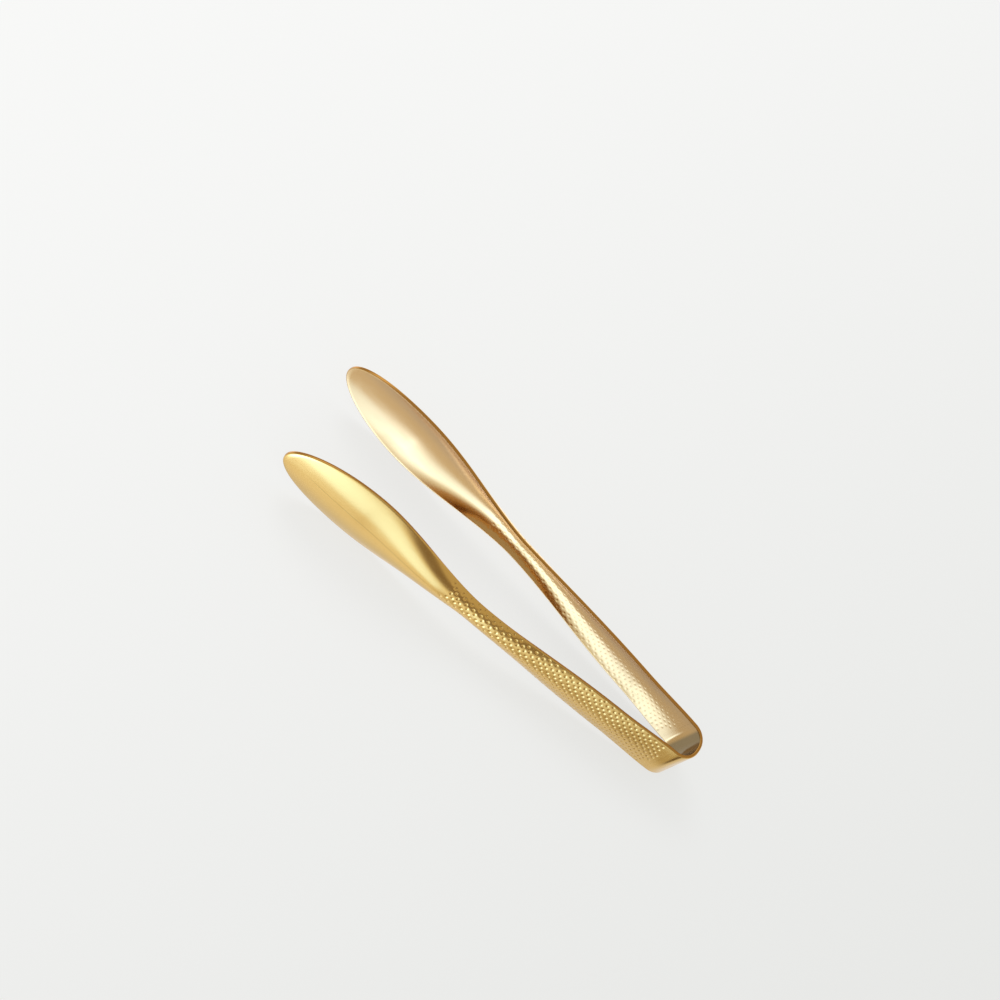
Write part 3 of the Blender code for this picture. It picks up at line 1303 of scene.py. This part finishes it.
@dataclass
class StudioRoom:
    """Pale floor, soft light from above and the panels that the metal mirrors."""

    floor_size: float = 5.0
    floor_cells: int = 8
    floor_colour: Colour = (0.15, 0.15, 0.15, 1.0)
    floor_roughness: float = 0.9
    floor_shine: float = 0.1
    mottle: Grain = Grain((3.0, 3.0, 3.0), 2.0)
    mottle_shade: float = 0.985
    floor_low_glow: Colour = (0.655, 0.660, 0.643, 1.0)
    floor_high_glow: Colour = (0.796, 0.798, 0.788, 1.0)
    glow_side: Vector = field(default_factory=lambda: Vector((-0.93, 0.37, 0.0)))
    glow_reach: float = 0.40
    dome: Colour = (0.80, 0.805, 0.81, 1.0)
    dome_strength: float = 0.86
    table: Colour = (0.90, 0.91, 0.94, 1.0)
    key_power: float = 24.0
    key_size: float = 1.2
    key_place: Vector = field(default_factory=lambda: Vector((-1.5, 1.1, 1.8)))
    panels: tuple[LightPanel, ...] = (
        LightPanel("pale_below", 180.0, 200.0, -90.0, 18.0, 9.0, (0.70, 0.71, 0.73, 1.0)),
        LightPanel("warm_above", 180.0, 200.0, 54.0, 60.0, 7.0, (0.55, 0.49, 0.40, 1.0)),
        LightPanel("dark_card_low", -36.0, 13.0, -36.0, 18.0, 6.0, (0.20, 0.15, 0.10, 1.0)),
        LightPanel("grey_card_low", -56.0, 9.0, -44.0, 13.0, 6.0, (0.60, 0.55, 0.45, 1.0)),
        LightPanel("narrow_window", -82.0, 6.0, -9.0, 9.0, 5.0, (1.3, 1.6, 2.1, 1.0)),
        LightPanel("dark_card_level", -64.0, 11.0, 2.0, 13.0, 5.0, (0.24, 0.19, 0.16, 1.0)),
        LightPanel("cool_window", -80.0, 11.0, -29.0, 12.5, 5.0, (1.25, 1.75, 3.0, 1.0)),
        LightPanel("bright_window", -89.0, 7.0, -34.0, 16.0, 5.0, (2.6, 3.8, 6.8, 1.0)),
        LightPanel("pale_band_behind", 95.0, 60.0, -28.0, 12.0, 9.0, (1.5, 1.5, 1.7, 1.0)),
        LightPanel("softbox_left", 150.0, 45.0, 48.0, 16.0, 14.0, (1.3, 1.3, 1.35, 1.0)),
        LightPanel("softbox_right", 10.0, 28.0, 30.0, 12.0, 12.0, (1.1, 1.1, 1.15, 1.0)),
    )

    def add_floor(self) -> None:
        """Add the pale floor. The metal mirrors the panels instead, which stay soft."""
        shape = bmesh.new()
        cells = self.floor_cells
        bmesh.ops.create_grid(shape, x_segments=cells, y_segments=cells, size=self.floor_size / 2.0)
        mesh = bpy.data.meshes.new("studio_floor")
        shape.to_mesh(mesh)
        shape.free()
        floor = bpy.data.objects.new("studio_floor", mesh)
        bpy.context.scene.collection.objects.link(floor)
        mesh.materials.append(self.paper())
        floor.visible_glossy = False
        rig.stage(floor)

    def paper(self) -> bpy.types.Material:
        """Build the floor's material, which glows a little more towards the bowls.

        Returns:
            The new material.
        """
        material = bpy.data.materials.new("pale_paper")
        material.use_nodes = True
        tools = ShaderTools(material.node_tree)
        shader = material.node_tree.nodes["Principled BSDF"]
        place = tools.add("ShaderNodeTexCoord").outputs["Object"]
        darker = shaded(self.floor_colour, self.mottle_shade)
        mottled = tools.mix(tools.noise(place, self.mottle), self.floor_colour, darker)
        tools.feed(shader.inputs["Base Color"], mottled)
        along = tools.add("ShaderNodeVectorMath", operation="DOT_PRODUCT")
        tools.feed(along.inputs[0], place)
        along.inputs[1].default_value = self.glow_side
        brighter = tools.smooth_range(along.outputs["Value"], -self.glow_reach, self.glow_reach)
        glow = tools.mix(brighter, self.floor_low_glow, self.floor_high_glow)
        tools.feed(shader.inputs["Emission Color"], glow)
        shader.inputs["Emission Strength"].default_value = 1.0
        shader.inputs["Roughness"].default_value = self.floor_roughness
        shader.inputs["Specular IOR Level"].default_value = self.floor_shine
        return material

    def add_key(self) -> None:
        """Add the large soft light that gives the faint shadows."""
        light = bpy.data.lights.new("soft_key", "AREA")
        light.shape = "DISK"
        light.size = self.key_size
        light.energy = self.key_power
        lamp = bpy.data.objects.new("soft_key", light)
        lamp.location = self.key_place
        lamp.rotation_euler = (-self.key_place).to_track_quat("-Z", "Y").to_euler()
        lamp.visible_glossy = False
        bpy.context.scene.collection.objects.link(lamp)

    @staticmethod
    def panel_group() -> bpy.types.NodeTree:
        """Soft rectangle in azimuth and elevation.

        Returns:
            A group that gives the mask of one panel in a direction.
        """
        sizes = ("Azimuth", "Half Width", "Elevation", "Half Height", "Softness")
        inputs = {"Direction": VECTOR, **{name: FLOAT for name in sizes}}
        group = GroupBuilder("light_panel", inputs, {"Mask": FLOAT})
        tools = group.tools
        direction = tools.split(group.inputs["Direction"])
        azimuth = tools.math("DEGREES", tools.math("ARCTAN2", direction["Y"], direction["X"]))
        aside = tools.math("SUBTRACT", azimuth, group.inputs["Azimuth"])
        aside = tools.math("WRAP", aside, 180.0, -180.0)
        elevation = tools.math("DEGREES", tools.math("ARCSINE", direction["Z"]))
        above = tools.math("SUBTRACT", elevation, group.inputs["Elevation"])
        masks = []
        for offset, half in ((aside, "Half Width"), (above, "Half Height")):
            inner = tools.math("SUBTRACT", group.inputs[half], group.inputs["Softness"])
            outer = tools.math("ADD", group.inputs[half], group.inputs["Softness"])
            masks.append(tools.smooth_range(tools.math("ABSOLUTE", offset), outer, inner))
        tools.feed(group.outputs["Mask"], tools.math("MULTIPLY", *masks))
        return group.tree

    def add_surroundings(self) -> None:
        """Add the bright dome that lights the floor and the panels that the metal mirrors."""
        world = bpy.data.worlds.new("soft_studio")
        world.use_nodes = True
        bpy.context.scene.world = world
        tools = ShaderTools(world.node_tree)
        background = world.node_tree.nodes["Background"]
        direction = tools.add("ShaderNodeTexCoord").outputs["Generated"]
        group = self.panel_group()
        seen = self.table
        for panel in self.panels:
            window = tools.group(
                group,
                Direction=direction,
                Azimuth=panel.azimuth,
                Half_Width=panel.half_width,
                Elevation=panel.elevation,
                Half_Height=panel.half_height,
                Softness=panel.softness,
            )
            window.label = panel.name
            seen = tools.mix(window.outputs["Mask"], seen, panel.light)
        glossy = tools.add("ShaderNodeLightPath").outputs["Is Glossy Ray"]
        dome = shaded(self.dome, self.dome_strength)
        tools.feed(background.inputs["Color"], tools.mix(glossy, dome, seen))
        world.cycles.sampling_method = "NONE"

    def build(self) -> None:
        """Build the whole room."""
        self.add_floor()
        self.add_key()
        self.add_surroundings()
        bpy.context.scene.view_settings.view_transform = "Standard"


@dataclass(frozen=True)
class PhotoCamera:
    """The camera of the photograph, aimed by angles round the tongs."""

    azimuth: float = math.radians(-18.302)
    elevation: float = math.radians(54.686)
    roll: float = math.radians(57.614)
    aim: tuple[float, float, float] = (-0.02459, 0.02204, 0.02761)
    distance: float = 2.3309
    lens: float = 207.78
    sensor: float = 36.0

    def build(self) -> None:
        """Place the camera and make it the scene's own."""
        level = math.cos(self.elevation)
        back = Vector((math.sin(self.azimuth), -math.cos(self.azimuth), 0.0)) * level
        back.z = math.sin(self.elevation)
        level_right = Vector((0.0, 0.0, 1.0)).cross(back).normalized()
        turned = Matrix.Rotation(self.roll, 3, back)
        right = turned @ level_right
        axes = Matrix((right, back.cross(right), back)).transposed().to_4x4()
        data = bpy.data.cameras.new("photo_camera")
        data.lens = self.lens
        data.sensor_width = self.sensor
        camera = bpy.data.objects.new("photo_camera", data)
        camera.matrix_world = Matrix.Translation(Vector(self.aim) + back * self.distance) @ axes
        bpy.context.scene.collection.objects.link(camera)
        bpy.context.scene.camera = camera


def write_sizes() -> None:
    boxes = {"cad": PACKED_BOX, "visual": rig.bounds()}
    rows = {name: [list(corner) for corner in box] for name, box in boxes.items()}
    with open(SIZE_FILE, "w", encoding="utf-8") as file:
        json.dump(rows, file)


def main() -> None:
    """Build the tongs, the room and the camera."""
    logging.basicConfig(level=logging.INFO, format="%(name)s: %(message)s")
    form = ArmForm()
    stock = SheetStock()
    place = RestingPlace.from_frame(form)
    effects = SurfaceEffects()
    bow = SpringBow(form, stock, place)
    bow.build()
    # The bow's finish paints shade inside its bend.
    bow.dress(GoldFinish("bow_gold_finish", roughness=0.14, shades_bend=True), effects)
    log.info("%s: %d faces", bow.piece.name, len(bow.piece.data.polygons))
    for side in Side:
        arm = TongArm(side, form, stock, place, DimpleField())
        arm.build()
        # The arms' finish paints a dark reflection line along the bowl's middle.
        arm.dress(GoldFinish(arm.body + "_arm_gold_finish", line=MiddleLine()), effects)
        log.info("%s: %d faces", arm.piece.name, len(arm.piece.data.polygons))
    StudioRoom().build()
    PhotoCamera().build()
    write_sizes()


if __name__ == "__main__":
    main()
